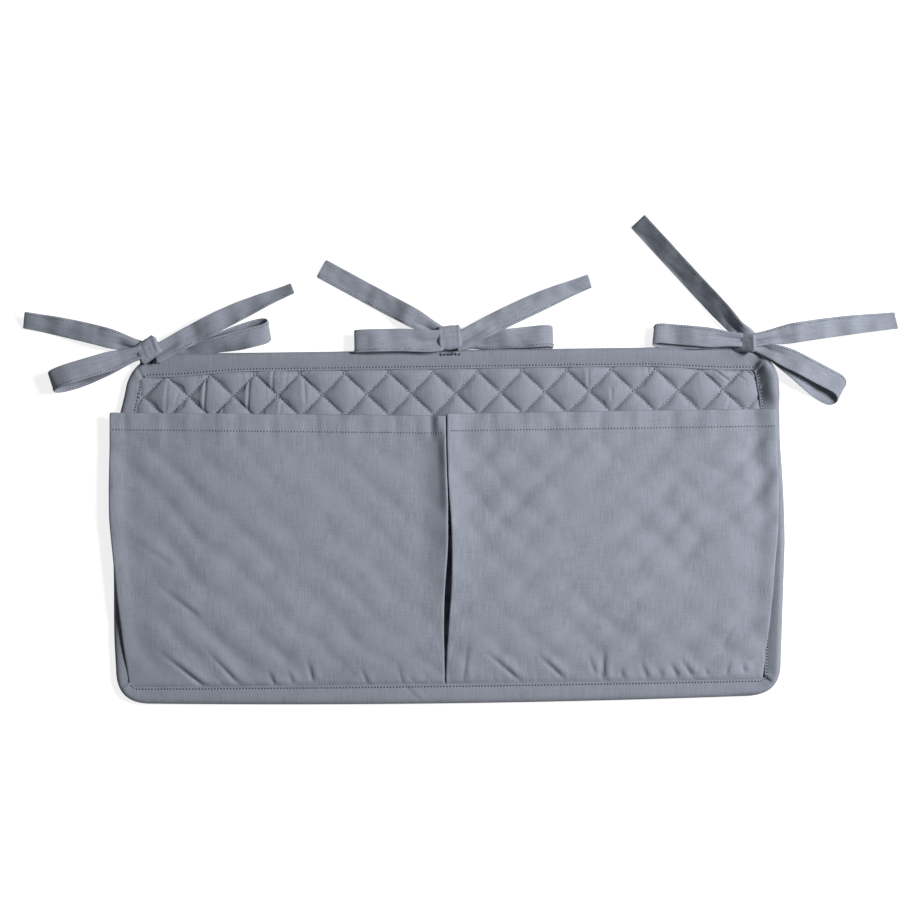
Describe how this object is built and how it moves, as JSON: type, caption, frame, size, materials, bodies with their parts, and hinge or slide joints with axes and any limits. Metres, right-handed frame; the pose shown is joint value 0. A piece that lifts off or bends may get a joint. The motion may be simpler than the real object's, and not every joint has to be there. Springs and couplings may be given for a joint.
{
  "type": "crib pocket organizer",
  "caption": "Quilted cloth panel with bound edges, wide pleated pockets across its front and cloth ties in bows along its top, for hanging small things on the side of a crib.",
  "frame": {"origin": "middle of the panel's back, at the level of the surface it lies on", "axes": "+X to the right along the panel, +Y towards the ties, +Z out of the front"},
  "size_m": [0.782, 0.4305, 0.0168],
  "materials": {
    "cloth": "matt woven cotton",
    "wadding": "matt fibre wadding",
    "thread": "matt sewing thread"
  },
  "bodies": {
    "panel": {"quilt_lining": "cloth", "quilt_batting": "wadding", "quilt_face": "cloth", "edge_binding": "cloth", "pocket_left_outer_gusset": "cloth", "pocket_left_inner_gusset": "cloth", "pocket_right_outer_gusset": "cloth", "pocket_right_inner_gusset": "cloth", "tie_left_knot": "cloth", "tie_centre_knot": "cloth", "tie_right_knot": "cloth", "bar_tack_left": "thread", "bar_tack_centre": "thread", "bar_tack_right": "thread"},
    "pocket_left": {"pocket_left_front": "cloth"},
    "pocket_right": {"pocket_right_front": "cloth"},
    "tie_left_left_tail": {"tie_left_left_tail": "cloth"},
    "tie_left_left_loop": {"tie_left_left_loop": "cloth"},
    "tie_left_right_loop": {"tie_left_right_loop": "cloth"},
    "tie_left_right_tail": {"tie_left_right_tail": "cloth"},
    "tie_centre_left_tail": {"tie_centre_left_tail": "cloth"},
    "tie_centre_left_loop": {"tie_centre_left_loop": "cloth"},
    "tie_centre_right_loop": {"tie_centre_right_loop": "cloth"},
    "tie_centre_right_tail": {"tie_centre_right_tail": "cloth"},
    "tie_right_left_tail": {"tie_right_left_tail": "cloth"},
    "tie_right_left_loop": {"tie_right_left_loop": "cloth"},
    "tie_right_right_loop": {"tie_right_right_loop": "cloth"},
    "tie_right_right_tail": {"tie_right_right_tail": "cloth"}
  },
  "joints": [
    {"name": "pocket_left_open", "type": "hinge", "parent": "panel", "child": "pocket_left", "pos_m": [0, -0.1417, 0.00745], "axis": [1, 0, 0], "range_deg": [0, 9], "deforming": ["pocket_left_outer_gusset", "pocket_left_inner_gusset"]},
    {"name": "pocket_right_open", "type": "hinge", "parent": "panel", "child": "pocket_right", "pos_m": [0, -0.1417, 0.00745], "axis": [1, 0, 0], "range_deg": [0, 9], "deforming": ["pocket_right_outer_gusset", "pocket_right_inner_gusset"]},
    {"name": "tie_left_left_tail_swing", "type": "hinge", "parent": "panel", "child": "tie_left_left_tail", "pos_m": [-0.264, 0.1594, 0], "axis": [0, 0, 1], "range_deg": [-20, 5]},
    {"name": "tie_left_left_loop_swing", "type": "hinge", "parent": "panel", "child": "tie_left_left_loop", "pos_m": [-0.264, 0.1594, 0], "axis": [0, 0, 1], "range_deg": [-4, 12]},
    {"name": "tie_left_right_loop_swing", "type": "hinge", "parent": "panel", "child": "tie_left_right_loop", "pos_m": [-0.264, 0.1594, 0], "axis": [0, 0, 1], "range_deg": [0, 6]},
    {"name": "tie_left_right_tail_swing", "type": "hinge", "parent": "panel", "child": "tie_left_right_tail", "pos_m": [-0.264, 0.1594, 0], "axis": [0, 0, 1], "range_deg": [-4, 20]},
    {"name": "tie_centre_left_tail_swing", "type": "hinge", "parent": "panel", "child": "tie_centre_left_tail", "pos_m": [0.0034, 0.1666, 0], "axis": [0, 0, 1], "range_deg": [-20, 6]},
    {"name": "tie_centre_left_loop_swing", "type": "hinge", "parent": "panel", "child": "tie_centre_left_loop", "pos_m": [0.0034, 0.1666, 0], "axis": [0, 0, 1], "range_deg": [-8, 0]},
    {"name": "tie_centre_right_loop_swing", "type": "hinge", "parent": "panel", "child": "tie_centre_right_loop", "pos_m": [0.0034, 0.1666, 0], "axis": [0, 0, 1], "range_deg": [0, 8]},
    {"name": "tie_centre_right_tail_swing", "type": "hinge", "parent": "panel", "child": "tie_centre_right_tail", "pos_m": [0.0034, 0.1666, 0], "axis": [0, 0, 1], "range_deg": [-5, 20]},
    {"name": "tie_right_left_tail_swing", "type": "hinge", "parent": "panel", "child": "tie_right_left_tail", "pos_m": [0.2695, 0.1599, 0], "axis": [0, 0, 1], "range_deg": [-15, 10]},
    {"name": "tie_right_left_loop_swing", "type": "hinge", "parent": "panel", "child": "tie_right_left_loop", "pos_m": [0.2695, 0.1599, 0], "axis": [0, 0, 1], "range_deg": [-10, 0]},
    {"name": "tie_right_right_loop_swing", "type": "hinge", "parent": "panel", "child": "tie_right_right_loop", "pos_m": [0.2695, 0.1599, 0], "axis": [0, 0, 1], "range_deg": [-10, 6]},
    {"name": "tie_right_right_tail_swing", "type": "hinge", "parent": "panel", "child": "tie_right_right_tail", "pos_m": [0.2695, 0.1599, 0], "axis": [0, 0, 1], "range_deg": [-6, 20]}
  ]
}
